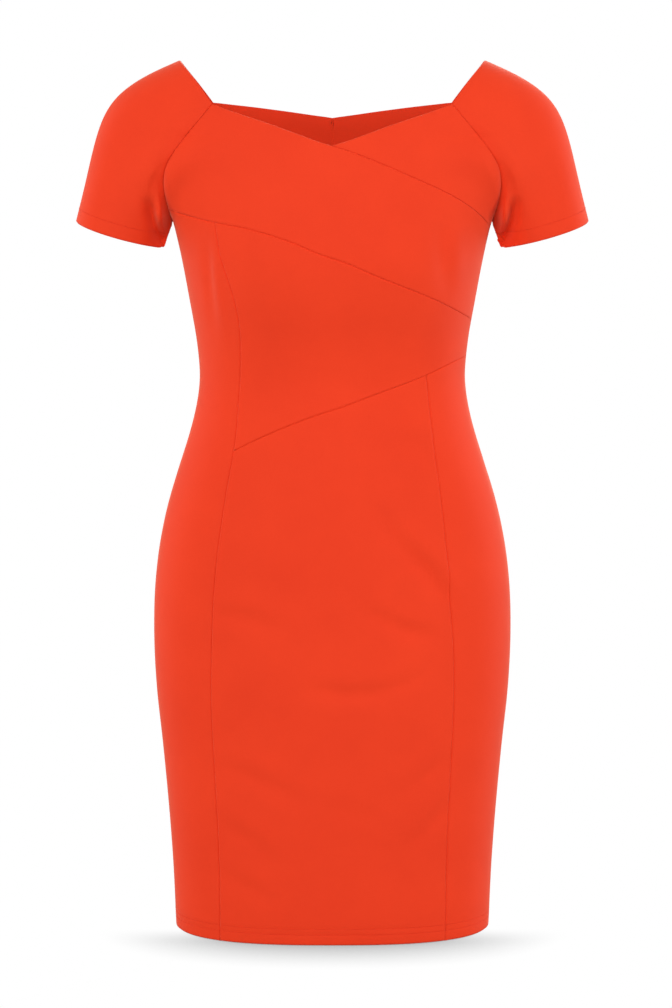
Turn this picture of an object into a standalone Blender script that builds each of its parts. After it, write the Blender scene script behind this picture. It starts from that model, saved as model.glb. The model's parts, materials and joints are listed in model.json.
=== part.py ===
"""Knee-length pencil dress, filled out as if worn, with an open neck, cuffs and hem.

Metres, +Z up. The dress faces -Y, so +X is the wearer's left. The origin lies midway
between the two shoulder points, where the wearer's shoulders hold the dress up.
Each piece that a maker would cut is one object: a sheet laid out between its seam
lines on one body surface, then given the thickness of the cloth.
"""

import math

import bmesh
import bpy
import numpy as np
from mathutils import Vector

# Driving sizes
CLOTH = 0.0015            # thickness of the stretch cloth
HALF_GAP = 0.00015        # each piece stops this far short of its seam line
SLEEVE_GAP = 0.0004       # sleeve root to the body's armhole edge
UNDERARM = -0.167
BAND_TOP_AT_SIDE = -0.178
BAND_FOOT_AT_SIDE = -0.2713
WEDGE_FOOT_AT_SIDE = -0.3026
HEM = -0.912

# Rings round the body, cloth's inner face, from the shoulders down to the hem.
# Power 2 is an ellipse, and a higher power is squarer.
# height, half_width, front depth, back depth, power
RINGS = (
    (0.000, 0.1850, 0.0850, 0.0800, 2.20),
    (-0.050, 0.1880, 0.0975, 0.0920, 2.20),
    (-0.090, 0.1870, 0.1130, 0.1000, 2.20),
    (-0.125, 0.1785, 0.1210, 0.1050, 2.20),
    (-0.167, 0.1646, 0.1270, 0.1070, 2.25),
    (-0.207, 0.1555, 0.1270, 0.1030, 2.30),
    (-0.249, 0.1478, 0.1180, 0.0970, 2.30),
    (-0.290, 0.1409, 0.1050, 0.0920, 2.25),
    (-0.333, 0.1380, 0.0965, 0.0905, 2.20),
    (-0.375, 0.1452, 0.1000, 0.0980, 2.20),
    (-0.417, 0.1580, 0.1060, 0.1110, 2.25),
    (-0.460, 0.1712, 0.1105, 0.1240, 2.30),
    (-0.502, 0.1804, 0.1135, 0.1320, 2.35),
    (-0.545, 0.1858, 0.1145, 0.1360, 2.35),
    (-0.600, 0.1876, 0.1140, 0.1350, 2.35),
    (-0.652, 0.1855, 0.1125, 0.1300, 2.40),
    (-0.717, 0.1790, 0.1100, 0.1220, 2.45),
    (-0.782, 0.1732, 0.1080, 0.1150, 2.50),
    (-0.847, 0.1687, 0.1065, 0.1100, 2.55),
    (HEM, 0.1660, 0.1060, 0.1070, 2.60),
)

# Fullness that the cut gives the bust, on each side of the centre front
BUST_FROM_CENTRE = 0.084
BUST_HEIGHT = -0.212
BUST_WIDTH = 0.048
BUST_DROP = 0.044
BUST_FULLNESS = 0.010

# Seam and edge lines as seen from the front: x, height
WRAP_EDGE = ((0.000, -0.0906), (0.038, -0.104), (0.090, -0.126), (0.126, -0.143),
             (0.1425, -0.1535), (0.157, -0.166))
BAND_FOOT = ((-0.149, -0.1595), (-0.1175, -0.167), (-0.083, -0.1735), (-0.045, -0.185),
             (-0.002, -0.202), (0.050, -0.2225), (0.103, -0.2445), (0.130, -0.259))
WEDGE_FOOT = ((-0.1005, -0.4000), (-0.061, -0.3805), (-0.002, -0.3578), (0.047, -0.3402),
              (0.0955, -0.3225), (0.118, -0.3125))
RIGHT_PRINCESS = ((-0.1175, -0.167), (-0.115, -0.186), (-0.1085, -0.2125),
                  (-0.1005, -0.238), (-0.0955, -0.260), (-0.093, -0.289),
                  (-0.0935, -0.311), (-0.0955, -0.348), (-0.1005, -0.400),
                  (-0.1065, -0.432), (-0.112, -0.467), (-0.118, -0.511),
                  (-0.1225, -0.565), (-0.1245, -0.645), (-0.1235, -0.693),
                  (-0.1205, -0.750), (-0.118, -0.800), (-0.1165, HEM))
LEFT_PRINCESS = ((0.0955, -0.3225), (0.0985, -0.3485), (0.1015, -0.378), (0.1055, -0.410),
                 (0.112, -0.458), (0.1165, -0.502), (0.1205, -0.556), (0.124, -0.601),
                 (0.125, -0.641), (0.124, -0.684), (0.122, -0.731), (0.119, -0.797),
                 (0.1175, HEM))
WEDGE_KEY = 8             # the point of RIGHT_PRINCESS where the wedge ends

# Armhole from the neck corner down, as distance from the centre and height, then the
# part round the side as depth from the side line and height
FRONT_ARMHOLE_ACROSS = ((0.121, -0.048), (0.133, -0.0625), (0.1495, -0.082),
                        (0.1613, -0.098))
FRONT_ARMHOLE_DEEP = ((0.052, -0.1105), (0.040, -0.125), (0.030, -0.1385), (0.019, -0.153),
                      (0.000, UNDERARM))
BACK_ARMHOLE_ACROSS = ((0.1265, -0.0415), (0.136, -0.059), (0.150, -0.080),
                       (0.1605, -0.097))
BACK_ARMHOLE_DEEP = ((0.049, -0.112), (0.037, -0.128), (0.023, -0.147), (0.000, UNDERARM))
BAND_KEY = 7              # the armhole point where the band's foot starts
BAND_FOOT_PRINCESS_KEY = 2
WEDGE_FOOT_PRINCESS_KEY = 2

FRONT_NECK = ((0.000, -0.0906), (0.0605, -0.0693), (0.121, -0.0480))

BACK_NECK = ((0.000, -0.0570), (0.0455, -0.0508), (0.088, -0.0455), (0.1265, -0.0415))

# Neck edge of a sleeve over the shoulder: x, y, height
SHOULDER_EDGE = ((0.1400, -0.059, -0.0225), (0.1525, -0.034, -0.0070),
                 (0.1580, 0.000, 0.0000), (0.1540, 0.034, -0.0060), (0.1440, 0.058, -0.0190))

# Cuff ring
CUFF_CENTRE = Vector((0.2215, 0.000, -0.1792))
CUFF_OUTWARD = Vector((0.963, 0.000, 0.271))
CUFF_FORWARD = Vector((0.000, -0.995, -0.100))
CUFF_HALF_WIDTH = 0.0480
CUFF_HALF_DEPTH = 0.0485

# How a sleeve leaves its root, from the underarm (0) over to the shoulder point (1).
# share, outward, toward the middle of the arm, upward, reach at root, reach at cuff
SLEEVE_FLOW = (
    (0.00, 0.33, 0.00, -0.94, 0.009, 0.009),
    (0.20, 0.72, 0.00, -0.69, 0.022, 0.026),
    (0.42, 0.96, 0.08, -0.26, 0.040, 0.055),
    (0.62, 0.94, 0.20, -0.28, 0.062, 0.080),
    (0.80, 0.93, 0.12, -0.35, 0.086, 0.105),
    (1.00, 0.92, 0.00, -0.38, 0.101, 0.116),
)

# Steps of the sheets, so that pieces that share a seam share its points
RIGHT_COLUMNS = 6
SKIRT_COLUMNS = 13
LEFT_COLUMNS = 5
WRAP_COLUMNS = 14
BACK_NECK_COLUMNS = 6
BACK_ARM_COLUMNS = 8
BAND_ROWS = 9
YOKE_ROWS = 7
ARMHOLE_FOOT_ROWS = 2
WEDGE_ROWS = 10
SKIRT_ROWS = 25
BACK_ROWS = 34
SHOULDER_STEPS = 7
SLEEVE_ROWS = 9

ORANGE_RED = (0.83, 0.055, 0.018, 1.0)
CLOTH_ROUGHNESS = 0.85


def smooth(marks, values, mark):
    """Value at a mark on a smooth curve through the given values."""
    slopes = np.gradient(values, marks)
    low = int(np.clip(np.searchsorted(marks, mark) - 1, 0, len(marks) - 2))
    span = marks[low + 1] - marks[low]
    done = (mark - marks[low]) / span
    left = 1.0 - done
    ends = (values[low] * left * left * (1.0 + 2.0 * done)
            + values[low + 1] * done * done * (1.0 + 2.0 * left))
    return ends + span * done * left * (slopes[low] * left - slopes[low + 1] * done)


RING_MARKS = np.array([-row[0] for row in RINGS])
RING_VALUES = [np.array([row[column] for row in RINGS]) for column in range(1, 5)]
FLOW_MARKS = np.array([row[0] for row in SLEEVE_FLOW])
FLOW_VALUES = [np.array([row[column] for row in SLEEVE_FLOW]) for column in range(1, 6)]


def ring(height):
    """Half width, front depth, back depth and power of the body ring at a height."""
    return [smooth(RING_MARKS, values, -height) for values in RING_VALUES]


def bust(x, height):
    """Fullness of the bust at a place on the front."""
    across = (abs(x) - BUST_FROM_CENTRE) / BUST_WIDTH
    down = (height - BUST_HEIGHT) / BUST_DROP
    return BUST_FULLNESS * math.exp(-(across * across + down * down) / 2.0)


def power(value, exponent):
    """A power that keeps the value's sign."""
    return math.copysign(abs(value) ** exponent, value)


def body(angle, height):
    """Point of the cloth's inner face: angle 0 at the wearer's left side, 90 degrees
    at the centre front, 180 at the right side and -90 at the centre back."""
    half_width, front, back, squareness = ring(height)
    x = half_width * power(math.cos(angle), 2.0 / squareness)
    depth = power(math.sin(angle), 2.0 / squareness)
    if depth < 0.0:
        return Vector((x, -back * depth, height))
    return Vector((x, -(front + bust(x, height) * depth) * depth, height))


def body_normal(angle, height):
    """Direction out of the body surface."""
    step = 0.002
    around = body(angle + step, height) - body(angle - step, height)
    down = body(angle, height - step) - body(angle, height + step)
    return around.cross(down).normalized()


def at_width(x, height, side=1):
    """Body place with a given x: side 1 is the front, -1 the back."""
    half_width, _, _, squareness = ring(height)
    share = min(abs(x) / half_width, 1.0) ** (squareness / 2.0)
    return side * math.acos(math.copysign(share, x)), height


def at_depth(depth, height, side=1):
    """Body place near the wearer's left side seam, a given depth in front or behind."""
    _, front, back, squareness = ring(height)
    whole = front if side > 0 else back
    return side * math.asin((depth / whole) ** (squareness / 2.0)), height


def across_body(places, side=1):
    """The same line on the wearer's right side."""
    return [(side * math.pi - angle, height) for angle, height in places]


def line(keys, steps, first=0, last=None):
    """Even steps between two keys of a smooth line through all its keys."""
    last = len(keys) - 1 if last is None else last
    points = [body(*key) for key in keys]
    marks = [0.0]
    for before, after in zip(points, points[1:]):
        marks.append(marks[-1] + (after - before).length)
    wanted = np.linspace(marks[first], marks[last], steps + 1)
    marks = np.array(marks)
    columns = [np.array(values) for values in zip(*keys)]
    return [tuple(smooth(marks, values, mark) for values in columns) for mark in wanted]


def straight(angle, top, foot, steps):
    """A side or centre seam, straight down the body."""
    return [(angle, height) for height in np.linspace(top, foot, steps + 1)]


def hem(start, end, steps):
    """The level hem line between two angles."""
    return [(angle, HEM) for angle in np.linspace(start, end, steps + 1)]


def joined(*lines):
    """One line from several that follow each other."""
    places = list(lines[0])
    for following in lines[1:]:
        places += following[1:]
    return places


def blend(first, second, share):
    """The place a share of the way between two places."""
    return tuple(a + (b - a) * share for a, b in zip(first, second))


def sheet_places(top, foot, left, right):
    """Rows of places between four lines: top and foot run one way, left and right
    run from top to foot."""
    rows = []
    for row, (start, end) in enumerate(zip(left, right)):
        down = row / (len(left) - 1)
        places = []
        for column, (above, below) in enumerate(zip(top, foot)):
            along = column / (len(top) - 1)
            between = blend(above, below, down)
            beside = blend(start, end, along)
            corners = blend(blend(top[0], top[-1], along),
                            blend(foot[0], foot[-1], along), down)
            places.append(tuple(a + b - c for a, b, c in zip(between, beside, corners)))
        rows.append(places)
    return rows


def step_back(edge, inner):
    """Moves that take an edge line half a seam gap toward the line inside it."""
    moves = []
    for index, point in enumerate(edge):
        along = edge[min(index + 1, len(edge) - 1)] - edge[max(index - 1, 0)]
        along.normalize()
        inward = inner[index] - point
        inward -= along * inward.dot(along)
        moves.append(inward.normalized() * HALF_GAP)
    return moves


def open_seams(rows):
    """The sheet with all four edges half a seam gap inside its seam lines."""
    columns = [list(column) for column in zip(*rows)]
    moved = [[point.copy() for point in row] for row in rows]
    for row, inner in ((0, 1), (-1, -2)):
        for column, move in enumerate(step_back(rows[row], rows[inner])):
            moved[row][column] += move
    for column, inner in ((0, 1), (-1, -2)):
        for row, move in enumerate(step_back(columns[column], columns[inner])):
            moved[row][column] += move
    return moved


def cloth(name, colour):
    """A matt cloth material."""
    material = bpy.data.materials.new(name)
    material.use_nodes = True
    shader = material.node_tree.nodes["Principled BSDF"]
    shader.inputs["Base Color"].default_value = colour
    shader.inputs["Roughness"].default_value = CLOTH_ROUGHNESS
    shader.inputs["Metallic"].default_value = 0.0
    material.diffuse_color = colour
    return material


def add_piece(collection, name, rows, closed, outward):
    """One piece of cloth from rows of points, thickened outward or inward."""
    mesh = bpy.data.meshes.new(name)
    sheet = bmesh.new()
    grid = [[sheet.verts.new(point) for point in row] for row in rows]
    width = len(rows[0])
    for upper, lower in zip(grid, grid[1:]):
        for column in range(width if closed else width - 1):
            beside = (column + 1) % width
            sheet.faces.new((upper[column], upper[beside], lower[beside], lower[column]))
    sheet.to_mesh(mesh)
    sheet.free()
    mesh.shade_smooth()
    mesh.materials.append(cloth(name, ORANGE_RED))
    piece = bpy.data.objects.new(name, mesh)
    collection.objects.link(piece)
    wall = piece.modifiers.new("Cloth", "SOLIDIFY")
    wall.thickness = CLOTH
    wall.offset = 1.0 if outward else -1.0
    wall.use_quality_normals = True


def add_panel(collection, name, top, foot, left, right):
    """A body panel between its four lines. Top and foot run round the body from the
    wearer's left toward the right."""
    places = sheet_places(top, foot, left, right)
    rows = [[body(*place) for place in row] for row in places]
    add_piece(collection, name, open_seams(rows), closed=False, outward=True)


def armhole_front():
    """Places down the wearer's left front armhole, from the neck corner."""
    across = [at_width(*key) for key in FRONT_ARMHOLE_ACROSS]
    return across + [at_depth(*key) for key in FRONT_ARMHOLE_DEEP]


def armhole_back():
    """Places down the wearer's left back armhole, from the neck corner."""
    across = [at_width(*key, side=-1) for key in BACK_ARMHOLE_ACROSS]
    return across + [at_depth(*key, side=-1) for key in BACK_ARMHOLE_DEEP]


def front_lines():
    """The front's seam and edge lines, each with the steps of the panels beside it."""
    lines = {}
    left_armhole = armhole_front()
    right_armhole = across_body(left_armhole)
    lines["left armhole"] = line(left_armhole, WRAP_COLUMNS)
    lines["right armhole"] = line(right_armhole, BAND_ROWS, 0, BAND_KEY)
    lines["right armhole foot"] = line(right_armhole, ARMHOLE_FOOT_ROWS, BAND_KEY)

    wrap = [(0.0, BAND_TOP_AT_SIDE)] + [at_width(*key) for key in reversed(WRAP_EDGE)]
    lines["wrap edge"] = line(wrap, WRAP_COLUMNS)
    neck = [at_width(*key) for key in FRONT_NECK]
    lines["left neck"] = line(neck, YOKE_ROWS)
    wide = RIGHT_COLUMNS + SKIRT_COLUMNS + LEFT_COLUMNS
    lines["right neck"] = line(across_body(neck), wide - WRAP_COLUMNS)

    band = [(0.0, BAND_FOOT_AT_SIDE)] + [at_width(*key) for key in reversed(BAND_FOOT)]
    band.append(right_armhole[BAND_KEY])
    start = len(band) - 1 - BAND_FOOT_PRINCESS_KEY
    lines["band foot"] = line(band, SKIRT_COLUMNS + LEFT_COLUMNS, 0, start)
    lines["band foot side"] = line(band, RIGHT_COLUMNS, start)

    wedge = [(0.0, WEDGE_FOOT_AT_SIDE)] + [at_width(*key) for key in reversed(WEDGE_FOOT)]
    lines["wedge foot side"] = line(wedge, LEFT_COLUMNS, 0, WEDGE_FOOT_PRINCESS_KEY)
    lines["wedge foot"] = line(wedge, SKIRT_COLUMNS, WEDGE_FOOT_PRINCESS_KEY)

    right = [at_width(*key) for key in RIGHT_PRINCESS]
    lines["bodice princess"] = line(right, WEDGE_ROWS, 0, WEDGE_KEY)
    lines["right princess"] = line(right, SKIRT_ROWS, WEDGE_KEY)
    lines["left princess"] = line([at_width(*key) for key in LEFT_PRINCESS], SKIRT_ROWS)
    return lines


def build_front(collection, lines):
    """The six front pieces, from the crossed band at the neck down to the hem."""
    band_side = straight(0.0, BAND_TOP_AT_SIDE, BAND_FOOT_AT_SIDE, BAND_ROWS)
    add_panel(collection, "front_wrap_band",
              top=joined(lines["wrap edge"], lines["right neck"]),
              foot=joined(lines["band foot"], lines["band foot side"]),
              left=band_side, right=lines["right armhole"])

    add_panel(collection, "front_yoke",
              top=lines["left armhole"][::-1], foot=lines["wrap edge"],
              left=straight(0.0, UNDERARM, BAND_TOP_AT_SIDE, YOKE_ROWS),
              right=lines["left neck"][::-1])

    add_panel(collection, "front_waist_wedge",
              top=lines["band foot"],
              foot=joined(lines["wedge foot side"], lines["wedge foot"]),
              left=straight(0.0, BAND_FOOT_AT_SIDE, WEDGE_FOOT_AT_SIDE, WEDGE_ROWS),
              right=lines["bodice princess"])

    left_foot = lines["left princess"][-1][0]
    right_foot = lines["right princess"][-1][0]
    add_panel(collection, "front_skirt_side",
              top=lines["wedge foot side"], foot=hem(0.0, left_foot, LEFT_COLUMNS),
              left=straight(0.0, WEDGE_FOOT_AT_SIDE, HEM, SKIRT_ROWS),
              right=lines["left princess"])

    add_panel(collection, "front_skirt_centre",
              top=lines["wedge foot"], foot=hem(left_foot, right_foot, SKIRT_COLUMNS),
              left=lines["left princess"], right=lines["right princess"])

    side_rows = WEDGE_ROWS + SKIRT_ROWS - ARMHOLE_FOOT_ROWS
    add_panel(collection, "front_side_panel",
              top=lines["band foot side"], foot=hem(right_foot, math.pi, RIGHT_COLUMNS),
              left=joined(lines["bodice princess"], lines["right princess"]),
              right=joined(lines["right armhole foot"],
                           straight(math.pi, UNDERARM, HEM, side_rows)))


def build_back(collection, neck, armhole):
    """The two back pieces either side of the centre back seam."""
    centre = -math.pi / 2.0
    middle = straight(centre, BACK_NECK[0][1], HEM, BACK_ROWS)
    columns = BACK_NECK_COLUMNS + BACK_ARM_COLUMNS

    left_top = joined(neck, armhole)
    add_panel(collection, "back_left",
              top=left_top, foot=hem(centre, 0.0, columns),
              left=middle, right=straight(0.0, UNDERARM, HEM, BACK_ROWS))

    right_top = across_body(left_top, side=-1)[::-1]
    add_panel(collection, "back_right",
              top=right_top, foot=hem(-math.pi, centre, columns),
              left=straight(-math.pi, UNDERARM, HEM, BACK_ROWS), right=middle)


def sleeve_root(front, back, side):
    """The sleeve's root ring from the underarm up the front armhole, over the
    shoulder and down the back, with each point's share of its half."""
    shift = Vector((side * SLEEVE_GAP, 0.0, 0.0))
    front_points = [body(*place) + body_normal(*place) * CLOTH + shift for place in front]
    back_points = [body(*place) + body_normal(*place) * CLOTH + shift for place in back]

    keys = [front_points[-1]]
    keys += [Vector((side * x, y, height)) for x, y, height in SHOULDER_EDGE]
    keys.append(back_points[0])
    marks = np.arange(len(keys), dtype=float)
    columns = [np.array(values) for values in zip(*keys)]
    over = [Vector([smooth(marks, values, mark) for values in columns])
            for mark in np.linspace(0.0, len(keys) - 1, 2 * SHOULDER_STEPS + 1)]

    front_half = front_points[:-1] + over[:SHOULDER_STEPS + 1]
    back_half = back_points[::-1][:-1] + over[SHOULDER_STEPS:][::-1]
    ring_points = [(point, share, -1) for point, share in with_shares(front_half)]
    ring_points += [(point, share, 1) for point, share in with_shares(back_half)][::-1][1:-1]
    return ring_points


def with_shares(points):
    """Each point of a line with its share of the line's length."""
    run = [0.0]
    for before, after in zip(points, points[1:]):
        run.append(run[-1] + (after - before).length)
    return [(point, mark / run[-1]) for point, mark in zip(points, run)]


def sleeve_line(point, share, half, side):
    """One line of a sleeve, from its root to the cuff."""
    flow = [smooth(FLOW_MARKS, values, share) for values in FLOW_VALUES]
    outward, middle, upward, root_reach, cuff_reach = flow
    leave = Vector((side * outward, -half * middle, upward)).normalized()

    turn = math.pi * share
    cuff = CUFF_CENTRE.copy()
    cuff -= CUFF_OUTWARD * CUFF_HALF_WIDTH * math.cos(turn)
    cuff -= CUFF_FORWARD * CUFF_HALF_DEPTH * math.sin(turn) * half
    up_arm = CUFF_FORWARD.cross(CUFF_OUTWARD).normalized()

    start_handle = point + leave * root_reach
    mirror = Vector((side, 1.0, 1.0))
    end_handle = (cuff + up_arm * cuff_reach) * mirror
    end = cuff * mirror
    places = []
    for share_down in np.linspace(0.0, 1.0, SLEEVE_ROWS + 1):
        rest = 1.0 - share_down
        places.append(point * rest ** 3 + start_handle * 3.0 * rest ** 2 * share_down
                      + end_handle * 3.0 * rest * share_down ** 2 + end * share_down ** 3)
    return places


def build_sleeve(collection, name, front, back, side):
    """One sleeve, cut whole: side 1 is the wearer's left."""
    root = sleeve_root(front, back, side)
    lines = [sleeve_line(point, share, half, side) for point, share, half in root]
    if side > 0:
        lines.reverse()
    rows = [list(row) for row in zip(*lines)]
    add_piece(collection, name, rows, closed=True, outward=False)


def main():
    for old in list(bpy.data.objects):
        bpy.data.objects.remove(old)
    dress = bpy.data.collections.new("pencil_dress")
    bpy.context.scene.collection.children.link(dress)

    lines = front_lines()
    build_front(dress, lines)

    back_neck = line([at_width(*key, side=-1) for key in BACK_NECK], BACK_NECK_COLUMNS)
    back_arm = line(armhole_back(), BACK_ARM_COLUMNS)
    build_back(dress, back_neck, back_arm)

    build_sleeve(dress, "sleeve_left", lines["left armhole"][::-1], back_arm, side=1)
    right_front = joined(lines["right armhole"], lines["right armhole foot"])[::-1]
    build_sleeve(dress, "sleeve_right", right_front, across_body(back_arm, side=-1), side=-1)


main()
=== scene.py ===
# %% [markdown]
# # A pencil dress in orange-red crepe jersey
#
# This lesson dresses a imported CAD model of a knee-length pencil dress. The model's solids
# already have the garment's true shape: each piece that a maker would cut is a rigid wall,
# 1.5 mm thick. Here each wall becomes real cloth, thinner and softer, with folded edges at
# its seams, creases, stitched hems and a crepe finish.
#
# We work in metres. The dress faces -Y, +Z is up, and +X is the wearer's left.

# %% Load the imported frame
import json
import math

import bmesh
import bpy
import numpy as np
from mathutils import Matrix, Vector
from mathutils.bvhtree import BVHTree

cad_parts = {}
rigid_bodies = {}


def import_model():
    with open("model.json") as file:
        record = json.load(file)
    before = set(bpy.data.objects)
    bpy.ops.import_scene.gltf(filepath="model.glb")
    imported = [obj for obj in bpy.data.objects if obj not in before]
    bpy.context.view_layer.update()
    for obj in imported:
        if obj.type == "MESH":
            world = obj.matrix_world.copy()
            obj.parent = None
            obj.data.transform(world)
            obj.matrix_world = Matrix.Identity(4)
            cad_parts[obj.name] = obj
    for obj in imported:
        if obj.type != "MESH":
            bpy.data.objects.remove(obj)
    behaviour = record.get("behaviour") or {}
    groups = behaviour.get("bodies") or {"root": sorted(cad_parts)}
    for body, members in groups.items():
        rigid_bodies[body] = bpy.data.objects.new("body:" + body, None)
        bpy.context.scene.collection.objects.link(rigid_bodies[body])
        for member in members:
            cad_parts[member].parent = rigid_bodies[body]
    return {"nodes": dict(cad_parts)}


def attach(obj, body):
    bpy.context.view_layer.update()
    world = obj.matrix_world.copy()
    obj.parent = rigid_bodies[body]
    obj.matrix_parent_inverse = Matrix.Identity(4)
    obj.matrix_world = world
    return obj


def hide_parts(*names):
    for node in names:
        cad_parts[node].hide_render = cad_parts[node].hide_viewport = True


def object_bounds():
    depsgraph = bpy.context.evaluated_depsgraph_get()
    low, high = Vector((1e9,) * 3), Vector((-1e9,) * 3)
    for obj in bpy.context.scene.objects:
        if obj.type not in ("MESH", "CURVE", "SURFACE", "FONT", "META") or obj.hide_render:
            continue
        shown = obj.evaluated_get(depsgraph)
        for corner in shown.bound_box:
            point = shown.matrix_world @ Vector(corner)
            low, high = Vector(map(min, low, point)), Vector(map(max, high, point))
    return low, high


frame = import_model()
for leftover in [thing for thing in bpy.data.objects if thing.name in ("Cube", "Light", "Camera")]:
    bpy.data.objects.remove(leftover)
cad_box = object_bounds()
scene = bpy.context.scene
HEM = cad_box[0].z
print("CAD box:", [[round(value, 4) for value in corner] for corner in cad_box])

# %% [markdown]
# Blender's operators act on whatever is selected, and loading leaves the CAD nodes
# selected. So the first helper selects one object and nothing else. Two more helpers read
# and write all the points of a mesh at once, because cloth is shaped here by moving its
# points in code, as a sculptor would with a soft brush.

# %% Small helpers for selecting and for reading points
MM = 1000.0                 # millimetres in a metre


def only(piece):
    """Selects one object and nothing else, in object mode."""
    if bpy.context.object and bpy.context.object.mode == "EDIT":
        bpy.ops.object.mode_set(mode="OBJECT")
    bpy.ops.object.select_all(action="DESELECT")
    piece.select_set(True)
    bpy.context.view_layer.objects.active = piece


def read(items, field, width=3):
    """One field of all vertices or faces, a row for each."""
    values = np.zeros(len(items) * width)
    items.foreach_get(field, values)
    return values.reshape(-1, width)


def write_points(piece, places):
    """Moves a mesh's vertices to new places."""
    piece.data.vertices.foreach_set("co", places.ravel())
    piece.data.update()


# %% [markdown]
# ## From a rigid wall to a sheet of cloth
#
# A CAD wall has an outer face, an inner face and thin rims. Only the outer face is wanted,
# because the cloth gets its own thickness later. We copy the node's mesh, merge its loose
# triangles, pick one face that surely lies outside, and let "select linked flat" spread
# from it. The spread stops at the rims, which turn by 90 degrees. Everything else is
# deleted, and "triangles to quads" brings back the four-sided grid. It finds the grid's
# cells best when they are nearly square, so a tall grid is squeezed in height meanwhile.

# %% Take the outer face of a CAD node
RIM_ANGLE = math.radians(48)
MERGE_WITHIN = 0.0001
SHEET_FACE = 0.00002        # square metres: a rim's faces are smaller than this


def outermost_face(mesh, on_top):
    """A face on the wall's outer side: the highest on a sleeve, or else the one that looks
    most squarely away from the body's middle line."""
    centre = read(mesh.polygons, "center")
    area = read(mesh.polygons, "area", 1)[:, 0]
    if on_top:
        score = centre[:, 2].copy()
    else:
        away = centre * (1.0, 1.0, 0.0)
        away /= np.linalg.norm(away, axis=1)[:, None]
        score = (read(mesh.polygons, "normal") * away).sum(axis=1)
    score[area < SHEET_FACE] = -np.inf
    return int(score.argmax())


def outer_sheet(node, name, squeeze, on_top=False):
    """A new object that holds only the outer face of a CAD node, as an open sheet."""
    piece = bpy.data.objects.new(name, frame["nodes"][node].data.copy())
    scene.collection.objects.link(piece)
    only(piece)
    bpy.ops.object.mode_set(mode="EDIT")
    bpy.ops.mesh.select_mode(type="FACE")
    bpy.ops.mesh.customdata_custom_splitnormals_clear()
    bpy.ops.mesh.select_all(action="SELECT")
    bpy.ops.mesh.remove_doubles(threshold=MERGE_WITHIN)
    bpy.ops.mesh.select_all(action="DESELECT")
    bpy.ops.object.mode_set(mode="OBJECT")
    piece.data.polygons[outermost_face(piece.data, on_top)].select = True
    bpy.ops.object.mode_set(mode="EDIT")
    bpy.ops.mesh.faces_select_linked_flat(sharpness=RIM_ANGLE)
    bpy.ops.mesh.select_all(action="INVERT")
    bpy.ops.mesh.delete(type="FACE")
    bpy.ops.object.mode_set(mode="OBJECT")
    write_points(piece, read(piece.data.vertices, "co") * (1.0, 1.0, squeeze))
    bpy.ops.object.mode_set(mode="EDIT")
    bpy.ops.mesh.select_all(action="SELECT")
    bpy.ops.mesh.tris_convert_to_quads(
        face_threshold=math.pi, shape_threshold=math.pi, topology_influence=2.0)
    bpy.ops.object.mode_set(mode="OBJECT")
    write_points(piece, read(piece.data.vertices, "co") / (1.0, 1.0, squeeze))
    piece.data.materials.clear()
    sides = [face.loop_total for face in piece.data.polygons]
    print(f"{name}: a grid of {len(sides)} faces, {sides.count(3)} of them triangles")
    return piece


# %% [markdown]
# The front of the dress is cut from six pieces: a band that wraps across the bust, a small
# yoke under its edge, a wedge at the waist, a long side panel and two pieces of skirt. The
# back is cut in two. All of them are taken, but only one sleeve, because the other is its
# mirror image. They could be joined to one skin, but then no seam would show, and each
# piece has to stay an object of its own.

# %% Take the sheets
# name: CAD node, squeeze in height
PANELS = {
    "wrap_band": ("front_wrap_band", 1.0),
    "yoke": ("front_yoke", 1.0),
    "waist_wedge": ("front_waist_wedge", 1.0),
    "side_front": ("front_side_panel", 1.0),
    "skirt_front": ("front_skirt_centre", 1.0),
    "skirt_side_front": ("front_skirt_side", 1.0),
    "left_back": ("back_left", 0.5),
    "right_back": ("back_right", 0.5),
}
SLEEVE_SQUEEZE = 0.6

panels = {name: outer_sheet(node, name, squeeze) for name, (node, squeeze) in PANELS.items()}
left_sleeve = outer_sheet("sleeve_left", "left_sleeve", SLEEVE_SQUEEZE, on_top=True)

# %% [markdown]
# ## Rounding
#
# Subdivision Surface turns the coarse grid into a smooth surface, but it also pulls the
# surface inside the grid's points, which would make the dress a little slimmer than its
# CAD. We measure how far each point was pulled in, push the grid out by as much, and
# repeat this a few times, so that the smooth cloth passes through the CAD's own points.

# %% Round each sheet without losing its size
ROUNDING = 2
ROUNDING_PASSES = 5
CORNER_TURN = math.radians(40)


def corner_points(piece):
    """The points at which a sheet's edge turns sharply."""
    sheet = bmesh.new()
    sheet.from_mesh(piece.data)
    corners = []
    for vertex in sheet.verts:
        ends = [edge.other_vert(vertex).co for edge in vertex.link_edges if edge.is_boundary]
        if len(ends) == 2 and (vertex.co - ends[0]).angle(ends[1] - vertex.co) > CORNER_TURN:
            corners.append(vertex.index)
    sheet.free()
    return corners


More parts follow.
